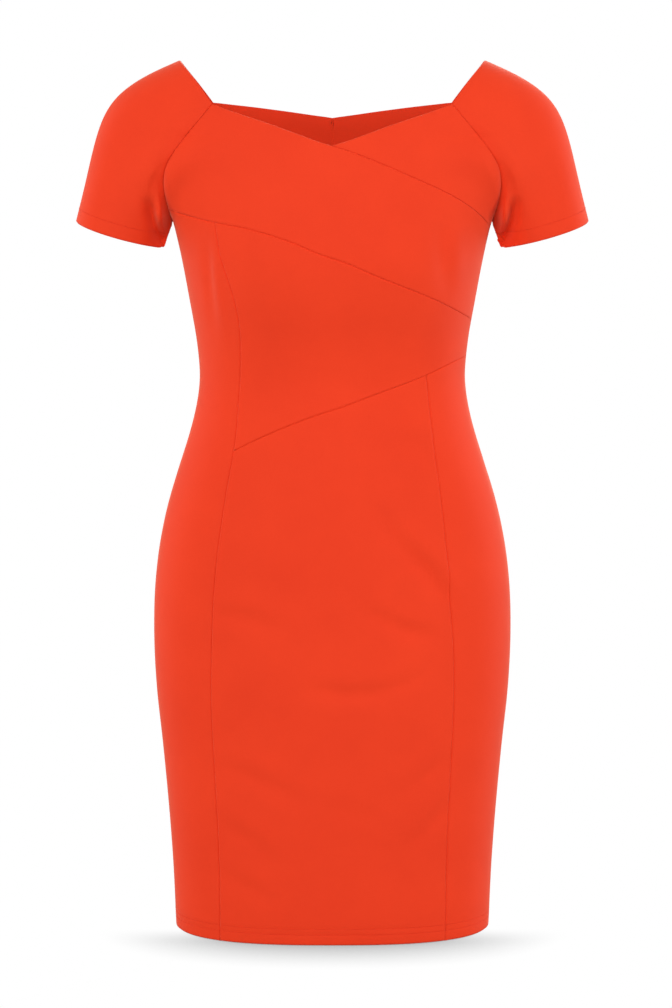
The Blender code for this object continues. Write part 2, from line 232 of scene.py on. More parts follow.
def rounded(piece):
    """Subdivides a sheet into a smooth one that passes through the sheet's own points and
    keeps its corners sharp."""
    only(piece)
    bpy.ops.object.mode_set(mode="EDIT")
    bpy.ops.mesh.select_mode(type="VERT")
    bpy.ops.mesh.select_all(action="DESELECT")
    bpy.ops.object.mode_set(mode="OBJECT")
    corners = corner_points(piece)
    for corner in corners:
        piece.data.vertices[corner].select = True
    bpy.ops.object.mode_set(mode="EDIT")
    bpy.ops.transform.vert_crease(value=1.0)
    bpy.ops.object.mode_set(mode="OBJECT")
    wanted = read(piece.data.vertices, "co")
    surface = piece.modifiers.new("Rounding", "SUBSURF")
    surface.levels = surface.render_levels = ROUNDING
    surface.boundary_smooth = "PRESERVE_CORNERS"
    for _ in range(ROUNDING_PASSES):
        smooth = piece.evaluated_get(bpy.context.evaluated_depsgraph_get()).data
        off = wanted - read(smooth.vertices, "co")[:len(wanted)]
        write_points(piece, read(piece.data.vertices, "co") + off)
    only(piece)
    bpy.ops.object.modifier_apply(modifier=surface.name)
    worst = np.abs(off).max() * MM
    print(f"{piece.name}: {len(corners)} corners, within {worst:.2f} mm of the CAD's points")


for piece in [*panels.values(), left_sleeve]:
    rounded(piece)

# %% [markdown]
# ## Fullness in front of the armholes
#
# Where an arm would leave the body, the cloth spans the hollow between bust and arm in
# place of sinking into it. So the armhole seams and the cloth beside them are eased
# forward. A grab brush in sculpt mode would do it by eye, piece by piece. One rule for
# every piece keeps the seams closed. The back of the armholes gets a little of the same.

# %% Ease the armhole seams outwards
# down an armhole seam: x, distance in front of or behind the middle, height
ARMHOLE = np.array(((0.1275, 0.074, -0.085), (0.155, 0.068, -0.100), (0.166, 0.052, -0.120),
                    (0.170, 0.035, -0.140), (0.169, 0.015, -0.158)))
EASE_FRONT = 0.0210
EASE_BACK = 0.0060
EASE_REACH = 0.0160         # half width of the wide part of the ease
EASE_EDGE = 0.0060          # half width of the part close to the seam
EASE_WIDE = 0.92            # share of the wide part
EASE_CLOSE = 0.12           # share of the close part
EASE_TOP = -0.080
EASE_FOOT = -0.172
SIDE_BLEND = 0.012          # from the middle, where front turns into back


def front_and_back(places):
    """How far each place belongs to the front and to the back, each from 0 to 1."""
    front = np.clip(-places[:, 1] / SIDE_BLEND, 0.0, 1.0)
    back = np.clip(places[:, 1] / SIDE_BLEND, 0.0, 1.0)
    return front, back


def bell(off):
    """A soft hump: 1 in the middle, and next to nothing three half widths away."""
    return np.exp(-off ** 2 / 2.0)


def eased(piece):
    """Moves the cloth near the armhole seams outwards, away from the hollow."""
    places = read(piece.data.vertices, "co")
    mirror = np.abs(places)
    gap = np.full(len(places), np.inf)
    for start, end in zip(np.abs(ARMHOLE), np.abs(ARMHOLE[1:])):
        run = end - start
        along = np.clip(((mirror - start) @ run) / (run @ run), 0.0, 1.0)
        gap = np.minimum(gap, np.linalg.norm(mirror - (start + along[:, None] * run), axis=1))
    share = np.clip((EASE_TOP - places[:, 2]) / (EASE_TOP - EASE_FOOT), 0.0, 1.0)
    ease = EASE_WIDE * bell(gap / EASE_REACH) + EASE_CLOSE * bell(gap / EASE_EDGE)
    ease *= np.sin(np.pi * share)
    front, back = front_and_back(places)
    places[:, 1] += ease * (EASE_BACK * back - EASE_FRONT * front)
    write_points(piece, places)
    print(f"{piece.name}: eased by up to {ease.max() * EASE_FRONT * MM:.1f} mm")


for name in ("wrap_band", "yoke", "side_front", "left_back", "right_back"):
    eased(panels[name])
eased(left_sleeve)

# %% [markdown]
# ## Creases
#
# Soft stretch crepe, filled out, shows a few long shallow creases. They start at a seam and
# run out on the panel, where the cloth is pulled a little. Cloth simulation would place
# them by chance, so each main crease is given one by one instead: a short path as seen from
# the front, a depth and a width. The cloth sinks along the path and swells a little on its
# upper side, and both fade towards the path's ends.
#
# The back isn't seen in the photograph. It gets like creases: drag lines in the small of
# the back, and a few long ones over the seat and low on the skirt.

# %% Where the creases of the body run
# depth, half width, swell beside it, path: x and height as seen from the front
FRONT_CREASES = (
    (0.0024, 0.0065, 0.5, ((-0.122, -0.566), (-0.095, -0.568), (-0.072, -0.574), (-0.046, -0.582))),
    (0.0052, 0.0072, 0.6, ((0.118, -0.554), (0.096, -0.520), (0.066, -0.490), (0.030, -0.440))),
    (0.0034, 0.0062, 0.5, ((0.104, -0.590), (0.076, -0.582), (0.044, -0.567), (0.018, -0.547))),
    (0.0026, 0.0065, 0.4,
     ((-0.022, -0.640), (0.012, -0.648), (0.049, -0.646), (0.088, -0.632), (0.108, -0.622))),
    (0.0018, 0.0070, 0.5, ((-0.118, -0.724), (-0.081, -0.737), (-0.047, -0.752), (-0.020, -0.763))),
    (0.0018, 0.0065, 0.5, ((-0.114, -0.786), (-0.082, -0.805), (-0.055, -0.830))),
    (0.0014, 0.0060, 0.4, ((-0.112, -0.839), (-0.082, -0.855), (-0.060, -0.869))),
    (0.0020, 0.0070, 0.5, ((0.117, -0.768), (0.098, -0.792), (0.072, -0.814))),
    (0.0018, 0.0070, 0.5, ((0.117, -0.718), (0.095, -0.736), (0.068, -0.753))),
    (0.0014, 0.0085, 0.3, ((0.044, -0.780), (0.015, -0.771), (-0.010, -0.767))),
    (0.0016, 0.0080, 0.4, ((0.098, -0.407), (0.075, -0.391), (0.056, -0.379))),
    (0.0035, 0.0085, 0.5, ((0.110, -0.168), (0.113, -0.195), (0.114, -0.217), (0.121, -0.244))),
    (0.0028, 0.0060, 0.7, ((-0.127, -0.188), (-0.126, -0.220), (-0.124, -0.246), (-0.120, -0.284))),
)
BACK_CREASES = (
    (0.0024, 0.0085, 0.6, ((-0.128, -0.330), (-0.085, -0.341), (-0.040, -0.339), (-0.014, -0.331))),
    (0.0018, 0.0080, 0.5, ((0.014, -0.350), (0.052, -0.362), (0.092, -0.359), (0.126, -0.345))),
    (0.0015, 0.0075, 0.5, ((-0.118, -0.374), (-0.080, -0.383), (-0.044, -0.380))),
    (0.0033, 0.0090, 0.6, ((0.150, -0.596), (0.112, -0.622), (0.070, -0.640), (0.034, -0.646))),
    (0.0027, 0.0090, 0.5, ((-0.148, -0.622), (-0.108, -0.640), (-0.062, -0.652))),
    (0.0018, 0.0080, 0.4, ((0.130, -0.690), (0.094, -0.706), (0.060, -0.712))),
    (0.0019, 0.0085, 0.5, ((-0.134, -0.742), (-0.098, -0.762), (-0.066, -0.772))),
    (0.0016, 0.0080, 0.4, ((0.128, -0.800), (0.098, -0.822), (0.072, -0.832))),
    (0.0021, 0.0075, 0.5, ((-0.134, -0.186), (-0.116, -0.214), (-0.092, -0.236))),
    (0.0021, 0.0075, 0.5, ((0.138, -0.190), (0.117, -0.222), (0.090, -0.246))),
)
print(f"{len(FRONT_CREASES)} creases in front and {len(BACK_CREASES)} on the back")

# %% [markdown]
# A brush in sculpt mode would press such creases in by hand. The helpers below do the same
# by rule: a path is laid on the cloth, and every point of the mesh moves along its own
# normal, by an amount that depends on its place along and beside the path. Where a crease
# comes near a seam, both pieces follow the same rule, and the seam stays closed.

# %% Press the creases into the cloth
CREASE_END = 0.01           # share of the path at which the fade stops, near each end
LEAN = 0.6                  # below 1, a crease is deepest nearer to its start
FULLNESS = 0.8              # below 1, a crease stays deep nearer to its ends
SWELL_PLACE = 2.0           # these three are in half widths of the crease
SWELL_WIDTH = 1.1
SWELL_REACH = 6.0


def on_cloth(path, cloud, front):
    """The path's points laid on the cloth: each takes the depth of the nearest point of
    the cloth, as seen from the front or from the back."""
    facing = cloud[cloud[:, 1] < 0.0] if front else cloud[cloud[:, 1] >= 0.0]
    laid = []
    for x, height in path:
        gap = np.hypot(facing[:, 0] - x, facing[:, 2] - height)
        laid.append(np.array([x, facing[gap.argmin(), 1], height]))
    return laid


def crease_shape(places, path, depth, half_width, swell):
    """How far each place rises along a crease: below zero in it, above beside it."""
    nearest = np.full(len(places), np.inf)
    share = np.zeros(len(places))
    above = np.zeros(len(places))
    for step, (start, end) in enumerate(zip(path, path[1:])):
        run = end - start
        along = np.clip(((places - start) @ run) / (run @ run), 0.0, 1.0)
        off = places - (start + along[:, None] * run)
        gap = np.linalg.norm(off, axis=1)
        closer = gap < nearest
        nearest[closer] = gap[closer]
        share[closer] = (step + along[closer]) / (len(path) - 1)
        upright = np.array([-run[2], 0.0, run[0]])
        if run[0] < 0.0:
            upright = -upright
        above[closer] = np.sign(off[closer] @ upright) * gap[closer]
    fade = np.sin(np.pi * np.clip(share, CREASE_END, 1.0 - CREASE_END) ** LEAN) ** FULLNESS
    trough = bell(nearest / half_width)
    beside = bell((above - SWELL_PLACE * half_width) / (SWELL_WIDTH * half_width))
    return depth * fade * (swell * beside * (nearest < SWELL_REACH * half_width) - trough)


def creased(pieces, creases, front):
    """Sinks a list of creases into the pieces that they cross."""
    cloud = np.concatenate([read(piece.data.vertices, "co") for piece in pieces])
    laid = [(on_cloth(path, cloud, front), *sizes) for *sizes, path in creases]
    for piece in pieces:
        places = read(piece.data.vertices, "co")
        normals = read(piece.data.vertices, "normal")
        rise = sum(crease_shape(places, path, *sizes) for path, *sizes in laid)
        write_points(piece, places + normals * rise[:, None])
    print(f"{len(laid)} creases laid on {len(pieces)} pieces")


front_pieces = [piece for name, piece in panels.items() if "back" not in name]
back_pieces = [piece for name, piece in panels.items() if "back" in name]
creased(front_pieces, FRONT_CREASES, front=True)
creased(back_pieces, BACK_CREASES, front=False)

# %% [markdown]
# A sleeve that hangs from a raglan-like armhole folds in front of the underarm, where
# there is more cloth than the arm needs: a small fold stands forward beside the armhole
# seam, and a trough runs down beside it to the corner of the cuff. A cloth simulation
# finds such folds too, but not where this dress has them. Here the cloth only moves
# forward or back, so the sleeve's outline stays. The sleeves are alike, so the left one is
# shaped, and the right one will be its mirror image.

# %% The folds of the sleeve, as seen from the front
# x and height of its middle, half width, half height, how far it stands forward, or sinks
# back if that is below zero
SLEEVE_FOLDS = (
    ((0.1772, -0.163), 0.0046, 0.0110, 0.0210),
    ((0.1780, -0.142), 0.0065, 0.0095, 0.0040),
    ((0.1805, -0.188), 0.0075, 0.0080, -0.0095),
)
# height and x of the armhole seam in front, where the folds begin
SEAM_HEIGHTS = (-0.155, -0.145, -0.127, -0.118, -0.109)
SEAM_X = (0.1695, 0.1715, 0.1733, 0.1720, 0.1695)
FOLD_RISE = 0.0060
# depth, half width, path from the cuff upwards
SLEEVE_TROUGHS = (
    (0.0165, 0.0038,
     ((0.175, -0.191), (0.180, -0.181), (0.1845, -0.166), (0.187, -0.152), (0.189, -0.141))),
    (0.0012, 0.0090, ((0.208, -0.160), (0.213, -0.130), (0.214, -0.100))),
)
BACK_SHARE = 0.5            # of the front's folds, on the back of the sleeve


def sleeve_rise(places):
    """How far the sleeve's cloth stands forward at each place, as seen from the front."""
    seen = places[:, ::2]
    rise = np.zeros(len(places))
    for middle, width, height, forward in SLEEVE_FOLDS:
        off = (seen - middle) / (width, height)
        rise += forward * np.exp(-(off ** 2).sum(axis=1) / 2.0)
    for depth, half_width, path in SLEEVE_TROUGHS:
        flat_path = [np.array((x, 0.0, height)) for x, height in path]
        rise += crease_shape(places * (1.0, 0.0, 1.0), flat_path, depth, half_width, 0.0)
    seam_x = np.interp(places[:, 2], SEAM_HEIGHTS, SEAM_X)
    return rise * np.clip((places[:, 0] - seam_x) / FOLD_RISE, 0.0, 1.0)


places = read(left_sleeve.data.vertices, "co")
rise = sleeve_rise(places)
in_front, behind = front_and_back(places)
places[:, 1] += rise * (BACK_SHARE * behind - in_front)
write_points(left_sleeve, places)
print(f"The sleeve's fold stands {rise.max() * MM:.1f} mm forward")

# %% [markdown]
# ## Darts and stitched hems
#
# A dart is a fold sewn inside, and from outside it is a fine line that sinks into the
# cloth. So is a line of hem stitches. Both need a row of points exactly where the thread
# pulls, and the bisect tool cuts one: a plane through the line, and one close on each
# side. Then the middle row is drawn in. A bump in the material would be quicker, but it
# would give the stitches nothing to lie in.

# %% Cut a sewn line into the cloth and draw it in
CUT_SNAP = 0.00002
ON_LINE = 0.3               # of the spread: points nearer than this are drawn in


def cut_along(piece, point, across, chosen):
    """Bisects the chosen faces of a piece with a plane."""
    only(piece)
    centres = read(piece.data.polygons, "center")
    bpy.ops.object.mode_set(mode="EDIT")
    bpy.ops.mesh.select_mode(type="FACE")
    bpy.ops.mesh.select_all(action="DESELECT")
    bpy.ops.object.mode_set(mode="OBJECT")
    piece.data.polygons.foreach_set("select", chosen(centres))
    bpy.ops.object.mode_set(mode="EDIT")
    bpy.ops.mesh.bisect(plane_co=point, plane_no=across, threshold=CUT_SNAP)
    bpy.ops.object.mode_set(mode="OBJECT")


def sewn_line(piece, point, across, depth, spread, chosen, fade=None):
    """Draws a fine line into the cloth, where a plane cuts it."""
    for shift in (-spread, 0.0, spread):
        cut_along(piece, point + across * shift, across, chosen)
    places = read(piece.data.vertices, "co")
    off = (places - np.array(point)) @ np.array(across)
    on_line = (np.abs(off) < spread * ON_LINE) & chosen(places)
    drawn = depth * on_line * (fade(places) if fade else 1.0)
    write_points(piece, places - read(piece.data.vertices, "normal") * drawn[:, None])
    return on_line


# %% [markdown]
# The front gets its waist from its slanting seams. The back is cut in two, so its shape at
# the waist comes from one dart each side, which starts below the shoulder blade and runs
# out above the seat. A real dart takes up cloth, but the CAD's back already has its final
# shape, so only the line is left to make.

# %% The two waist darts of the back
DART_TOP = Vector((0.071, 0.0, -0.232))
DART_FOOT = Vector((0.083, 0.0, -0.468))
DART_DEPTH = 0.0009
DART_SPREAD = 0.0011
DART_FULLNESS = 0.5         # below 1, a dart stays deep nearer to its ends


def beside_dart(places):
    """Marks what lies level with a dart."""
    return (places[:, 2] < DART_TOP.z) & (places[:, 2] > DART_FOOT.z)


def dart_fade(places):
    """A dart is deepest in its middle and runs out to nothing."""
    share = (DART_TOP.z - places[:, 2]) / (DART_TOP.z - DART_FOOT.z)
    return np.sin(np.pi * np.clip(share, 0.0, 1.0)) ** DART_FULLNESS


for name, side in (("left_back", 1.0), ("right_back", -1.0)):
    top = Vector((side * DART_TOP.x, 0.0, DART_TOP.z))
    run = Vector((side * DART_FOOT.x, 0.0, DART_FOOT.z)) - top
    across = run.cross(Vector((0.0, 1.0, 0.0))).normalized()
    marked = sewn_line(panels[name], top, across, DART_DEPTH, DART_SPREAD, beside_dart, dart_fade)
    print(f"{name}: a dart through {int(marked.sum())} points")

# %% [markdown]
# The hem is turned up and sewn with a twin needle, which leaves two fine lines, 11 and
# 17 mm above the edge. The cuffs have one such line. We keep each line's points and
# normals, because the stitches are laid on them later.

# %% The hem lines and the cuff line
HEM_LINES = (0.011, 0.017)
CUFF_LINE = 0.0145
STITCH_DEPTH = 0.0002
CUFF_DEPTH = 0.00008
STITCH_SPREAD = 0.0009
NEAR_EDGE = 0.035
CUFF_CENTRE = Vector((0.2215, 0.0, -0.1792))
CUFF_OUTWARD = Vector((0.963, 0.0, 0.271)).normalized()
CUFF_FORWARD = Vector((0.0, -0.995, -0.100)).normalized()
UP_SLEEVE = CUFF_FORWARD.cross(CUFF_OUTWARD).normalized()
stitch_lines = {"hem_low": [], "hem_high": [], "cuff": []}


def keep_line(line, piece, marked):
    """Keeps the places and normals of a stitch line's points."""
    places = read(piece.data.vertices, "co")[marked]
    normals = read(piece.data.vertices, "normal")[marked]
    stitch_lines[line].extend(zip(places, normals))


def above_hem(places):
    """Marks what lies close above the hem."""
    return places[:, 2] < HEM + NEAR_EDGE


def above_cuff(places):
    """Marks what lies close above the cuff of the left sleeve."""
    return (places - np.array(CUFF_CENTRE)) @ np.array(UP_SLEEVE) < NEAR_EDGE


for name, piece in panels.items():
    if name in ("wrap_band", "yoke", "waist_wedge"):
        continue
    for line, height in zip(("hem_low", "hem_high"), HEM_LINES):
        at = Vector((0.0, 0.0, HEM + height))
        marked = sewn_line(piece, at, Vector((0.0, 0.0, 1.0)), STITCH_DEPTH, STITCH_SPREAD,
                           above_hem)
        keep_line(line, piece, marked)

at = CUFF_CENTRE + UP_SLEEVE * CUFF_LINE
keep_line("cuff", left_sleeve,
          sewn_line(left_sleeve, at, UP_SLEEVE, CUFF_DEPTH, STITCH_SPREAD, above_cuff))
print({line: len(kept) for line, kept in stitch_lines.items()})

# %% [markdown]
# Both sleeves are cut from one pattern, turned over, so the right sleeve is the left one
# in a mirror. A Mirror modifier would keep both in one object, but each sleeve is a piece
# of its own, so a copy's points are mirrored. That turns every face inside out, and the
# normals are flipped back.

# %% Mirror the sleeve
MIRROR = np.array((-1.0, 1.0, 1.0))


def mirrored(piece, name):
    """A mirror image of a piece, across the dress's middle."""
    image = bpy.data.objects.new(name, piece.data.copy())
    scene.collection.objects.link(image)
    write_points(image, read(image.data.vertices, "co") * MIRROR)
    only(image)
    bpy.ops.object.mode_set(mode="EDIT")
    bpy.ops.mesh.select_all(action="SELECT")
    bpy.ops.mesh.flip_normals()
    bpy.ops.object.mode_set(mode="OBJECT")
    return image


right_sleeve = mirrored(left_sleeve, "right_sleeve")
cloth_pieces = [*panels.values(), left_sleeve, right_sleeve]
print(f"{len(cloth_pieces)} pieces of cloth")

# %% [markdown]
# ## Turnings
#
# A cut edge never shows on a finished dress. At a seam, at the neck and at a hem the cloth
# is folded to the inside, and this turning is what makes a seam look like a seam: two
# rounded edges that meet in a fine groove. A bevel could round the edges, but it would
# leave no cloth inside, where the neck shows it. So the edge is extruded, row by row,
# round the fold and back under the cloth.
#
# The grid's cells are too wide for so small a fold. Two narrow rows of faces are first
# grown along each sheet's edge, so that only the last 2 mm bend.

# %% Grow two narrow rows along every edge
FLAT_RING = 0.0022
ROLL_RING = 0.0008
RING_SHARE = 0.6            # of the grid cell beside the edge, at most
LEAST_SLANT = 0.35          # sine of a cross line's angle to the edge, taken as no less


def surface_of(piece):
    """A sheet's surface, in a form that finds the nearest place on it fast."""
    places = [vertex.co for vertex in piece.data.vertices]
    return BVHTree.FromPolygons(places, [face.vertices for face in piece.data.polygons])


def new_row(sheet, edges, line):
    """Extrudes one more row of faces from a sheet's edges, in place. Gives the row's
    edges, and for each of its vertices the one of the first row that it grew from."""
    made = bmesh.ops.extrude_edge_only(sheet, edges=edges)["geom"]
    row = {}
    for vertex in made:
        if isinstance(vertex, bmesh.types.BMVert):
            before = next(edge.other_vert(vertex) for edge in vertex.link_edges
                          if edge.other_vert(vertex) in line)
            row[vertex] = line[before]
    return [item for item in made if isinstance(item, bmesh.types.BMEdge)], row


def drawn_in(vertex):
    """The move that takes an edge vertex in along the grid's own cross line, or None at a
    corner, where no cross line ends."""
    cross_lines = [edge for edge in vertex.link_edges if not edge.is_boundary]
    if not cross_lines:
        return None
    inward = sum((edge.other_vert(vertex).co - vertex.co for edge in cross_lines), Vector())
    inward /= len(cross_lines)
    sides = [(edge.other_vert(vertex).co - vertex.co).normalized()
             for edge in vertex.link_edges if edge.is_boundary]
    slant = min(inward.normalized().cross(side).length for side in sides)
    reach = min(FLAT_RING / max(slant, LEAST_SLANT), RING_SHARE * inward.length)
    return inward.normalized() * reach


def ringed(piece, tree):
    """Adds two narrow rows of faces along a sheet's edges. The rows grow in place, and
    the older ones are drawn in."""
    sheet = bmesh.new()
    sheet.from_mesh(piece.data)
    edges = [edge for edge in sheet.edges if edge.is_boundary]
    line = {vertex: vertex for edge in edges for vertex in edge.verts}
    moves = {vertex: drawn_in(vertex) for vertex in line}
    for vertex in [vertex for vertex, move in moves.items() if move is None]:
        beside = [edge.other_vert(vertex) for edge in vertex.link_edges]
        moves[vertex] = moves[beside[0]] + moves[beside[1]]
    starts = {vertex: vertex.co.copy() for vertex in line}
    for share in (ROLL_RING / FLAT_RING, 0.0):
        edges, line = new_row(sheet, edges, line)
        for vertex, first in line.items():
            vertex.co = tree.find_nearest(starts[first] + moves[first] * share)[0]
    for vertex, move in moves.items():
        vertex.co = tree.find_nearest(starts[vertex] + move)[0]
    sheet.to_mesh(piece.data)
    sheet.free()


surfaces = {piece.name: surface_of(piece) for piece in cloth_pieces}
for piece in cloth_pieces:
    ringed(piece, surfaces[piece.name])
    print(f"{piece.name}: {len(piece.data.polygons)} faces with its narrow rows")

# %% [markdown]
# A maker turns 20 mm at the hem, 15 mm at the cuffs and 7 mm at the seams. Inside the back
# of the neck, where it can be seen from the front, a wider turning of 32 mm reaches down
# out of sight. The centre back seam is pressed open, 4 mm to each side. At a corner two
# turnings meet in a mitre, and where one would come out beyond the sheet it is trimmed.
# An inset would turn every edge by the same width, so we work out each point's own move.

# %% Work out how far each edge is turned
HEM_TURNING = 0.020
CUFF_TURNING = 0.015
SEAM_TURNING = 0.007
BACK_TURNING = 0.004
NECK_TURNING = 0.032
NECK_FOOT = -0.060
NECK_SIDE = 0.1265
ON_EDGE = 0.001
ON_CUFF = 0.003
HARDLY_TURNS = 0.95         # cosine of the turn between two edges that need no mitre
LONGEST_MITRE = 1.7         # times the wider of its two turnings
TRIMS = 12
TRIM_GAP = 0.0003
TRIM_STEP = 0.8             # of its length is left by each trim


def turning_width(piece, place):
    """How deep the cloth is turned at a place on its edge."""
    if place.z < HEM + ON_EDGE:
        return HEM_TURNING
    mirror = Vector((abs(place.x), place.y, place.z))
    if abs((mirror - CUFF_CENTRE).dot(UP_SLEEVE)) < ON_CUFF and "sleeve" in piece.name:
        return CUFF_TURNING
    if abs(place.x) < ON_EDGE and "back" in piece.name:
        return BACK_TURNING
    if place.z > NECK_FOOT and "back" in piece.name and abs(place.x) < NECK_SIDE:
        return NECK_TURNING
    return SEAM_TURNING


def mitre(first, first_width, second, second_width):
    """The move that brings a corner inside both of its edges by their widths."""
    lean = first.dot(second)
    if abs(lean) > HARDLY_TURNS:
        return (first + second) / 2.0 * (first_width + second_width) / 2.0
    spare = 1.0 - lean * lean
    move = first * ((first_width - lean * second_width) / spare)
    move += second * ((second_width - lean * first_width) / spare)
    longest = LONGEST_MITRE * max(first_width, second_width)
    return move * min(1.0, longest / move.length)


def trimmed(move, start, tree):
    """Shortens a move until it ends under the sheet, as a maker trims a turning at a
    narrow corner."""
    for _ in range(TRIMS):
        near, normal, _, _ = tree.find_nearest(start + move)
        off = start + move - near
        if (off - normal * off.dot(normal)).length < TRIM_GAP:
            break
        move = move * TRIM_STEP
    return move


def moves_inside(piece, edges, tree):
    """For each vertex on the edge: the move across its turning, the move that brings it
    1 m inside each edge, and whether it is at one of the piece's corners."""
    beside = {}
    for edge in edges:
        face = edge.link_faces[0]
        start, end = (vertex.co for vertex in edge.verts)
        inward = face.normal.cross(end - start).normalized()
        if inward.dot(face.calc_center_median() - start) < 0.0:
            inward.negate()
        width = turning_width(piece, (start + end) / 2.0)
        for vertex in edge.verts:
            beside.setdefault(vertex, []).append((inward, width))
    moves = {}
    for vertex, pair in beside.items():
        move = trimmed(mitre(*pair[0], *pair[-1]), vertex.co, tree)
        inward = mitre(pair[0][0], 1.0, pair[-1][0], 1.0)
        moves[vertex] = (move, inward, pair[0][0].dot(pair[-1][0]) < math.cos(CORNER_TURN))
    return moves


print(f"Turnings from {BACK_TURNING * MM:.0f} to {NECK_TURNING * MM:.0f} mm")

# %% [markdown]
# On a sewn seam the two folds press against each other, and no light comes through. The
# CAD's pieces lie a little apart, so each point of an edge looks for the piece beside it,
# and its fold's second row reaches across the gap, down in the groove, where it meets the
# neighbour's. Closing the gap on the surface would be simpler, but then the groove, which
# is the dark line of a seam, would be lost. Along the armholes the edges sink less, and
# their line is finer.

# %% Fold the edges of every sheet to the inside
# distance inside the edge, share of the turning's width, depth below the cloth's face; a
# row with a distance below zero lies outside a free edge, or else meets the piece beside
FOLD = (
    (0.00000, 0.0, 0.00105),
    (-0.00028, 0.0, 0.00125),
    (0.00050, 0.0, 0.00165),
    (0.00000, 0.4, 0.00165),
    (0.00000, 1.0, 0.00165),
)
MEET_REACH = 0.0016
MEET_SHARE = 0.75           # of the gap of a seam, so that its two folds close it
EDGE_DROP = 0.00094
RING_DROP = 0.00005
ARMHOLE_DROP = 0.00022
ARMHOLE_REACH = 0.030


def at_armhole(place):
    """Whether a place lies on an armhole seam."""
    mirror = Vector((abs(place.x), abs(place.y), place.z))
    return min((mirror - Vector(point)).length for point in ARMHOLE) < ARMHOLE_REACH


def piece_beside(place, others):
    """The nearest place on another piece and its normal, or None where an edge is free."""
    found = [other.find_nearest(place, MEET_REACH) for other in others]
    found = [(distance, near, normal) for near, normal, _, distance in found if near]
    return min(found, key=lambda item: item[0])[1:] if found else None


def turned_under(piece, tree, others):
    """Rolls a sheet's edges over and lays them back under the sheet's surface."""
    sheet = bmesh.new()
    sheet.from_mesh(piece.data)
    sheet.normal_update()
    edges = [edge for edge in sheet.edges if edge.is_boundary]
    moves = moves_inside(piece, edges, tree)
    normals = {vertex: tree.find_nearest(vertex.co)[1] for vertex in moves}
    starts = {vertex: vertex.co.copy() for vertex in moves}
    beside = {vertex: piece_beside(vertex.co, others) for vertex in moves}

    def folded(vertex, inside, share, depth):
        start, normal = starts[vertex], normals[vertex]
        move, inward, _ = moves[vertex]
        if inside < 0.0 and beside[vertex]:
            near, other_normal = beside[vertex]
            between = (normal + other_normal).normalized()
            return start + (near - start) * MEET_SHARE - between * depth
        if inside < 0.0:
            return start + inward * inside - normal * depth
        target = start + move * share + inward * inside
        near, normal, _, _ = tree.find_nearest(target)
        return near - normal * depth

    rolled = {edge.other_vert(vertex) for vertex in moves for edge in vertex.link_edges}
    for vertex in rolled - set(moves):
        vertex.co -= vertex.normal * RING_DROP
    line = {vertex: vertex for vertex in moves}
    for inside, share, depth in FOLD:
        edges, line = new_row(sheet, edges, line)
        for vertex, first in line.items():
            vertex.co = folded(first, inside, share, depth)
    for vertex, (_, _, corner) in moves.items():
        if not corner:
            drop = ARMHOLE_DROP if at_armhole(vertex.co) else EDGE_DROP
            vertex.co -= normals[vertex] * drop
    sheet.to_mesh(piece.data)
    sheet.free()


for piece in cloth_pieces:
    surface = surfaces[piece.name]
    turned_under(piece, surface, [other for other in surfaces.values() if other is not surface])
    print(f"{piece.name}: {len(piece.data.polygons)} faces with its turnings")

# %% [markdown]
# ## Thickness
#
# Crepe jersey is a little under a millimetre thick. Solidify gives the sheet its thickness,
# inwards, so that the outer face stays where the CAD has it. Extruding the whole sheet
# would do the same by hand, but Solidify's clamp also keeps the wall from crossing itself
# inside the tight folds.

# %% Give the cloth its thickness
CLOTH = 0.0007
SMOOTH_BELOW = math.radians(60)


def thickened(piece):
    """Gives a sheet the thickness of the cloth and smooth shading."""
    wall = piece.modifiers.new("Cloth", "SOLIDIFY")
    wall.thickness = CLOTH
    wall.offset = -1.0
    wall.use_even_offset = False
    wall.use_quality_normals = True
    wall.thickness_clamp = 1.0
    only(piece)
    bpy.ops.object.modifier_apply(modifier=wall.name)
    bpy.ops.object.shade_smooth_by_angle(angle=SMOOTH_BELOW)


def sheet_area(piece):
    """The area of a thin closed shell is half of its surface."""
    return read(piece.data.polygons, "area", 1).sum() / 2.0


for piece in cloth_pieces:
    thickened(piece)
    print(f"{piece.name}: {sheet_area(piece):.4f} square metres, turnings counted")

# %% [markdown]
# ## Stitches
#
# The hem's stitches are real thread, so they are small raised pieces of their own. One
# stitch starts as a six-sided cylinder, whose two ends are extruded and narrowed. Copies
# of it are laid along each kept line and joined. A pattern in the material could draw
# them, but from near by it would look printed.

# %% Model one stitch
STITCH_LENGTH = 0.0023
THREAD_RADIUS = 0.00022
THREAD_SIDES = 6
STITCH_END = 0.00028
END_WIDTH = 0.35            # of the thread's width is left at the tip
FACES_ALONG = 0.9           # least X of an end face's normal


def one_stitch():
    """A short thread along X, narrowed at both ends."""
    bpy.ops.object.select_all(action="DESELECT")
    bpy.ops.mesh.primitive_cylinder_add(vertices=THREAD_SIDES, radius=THREAD_RADIUS,
                                        depth=STITCH_LENGTH, rotation=(0.0, math.pi / 2.0, 0.0))
    bpy.ops.object.transform_apply(rotation=True)
    stitch = bpy.context.object
    for side in (1.0, -1.0):
        bpy.ops.object.mode_set(mode="EDIT")
        bpy.ops.mesh.select_mode(type="FACE")
        bpy.ops.mesh.select_all(action="DESELECT")
        bpy.ops.object.mode_set(mode="OBJECT")
        for face in stitch.data.polygons:
            face.select = face.normal.x * side > FACES_ALONG
        bpy.ops.object.mode_set(mode="EDIT")
        bpy.ops.mesh.extrude_region_move(
            TRANSFORM_OT_translate={"value": (side * STITCH_END, 0.0, 0.0)})
        bpy.ops.transform.resize(value=(1.0, END_WIDTH, END_WIDTH))
        bpy.ops.object.mode_set(mode="OBJECT")
    return stitch


stitch = one_stitch()
print(f"One stitch has {len(stitch.data.polygons)} faces")

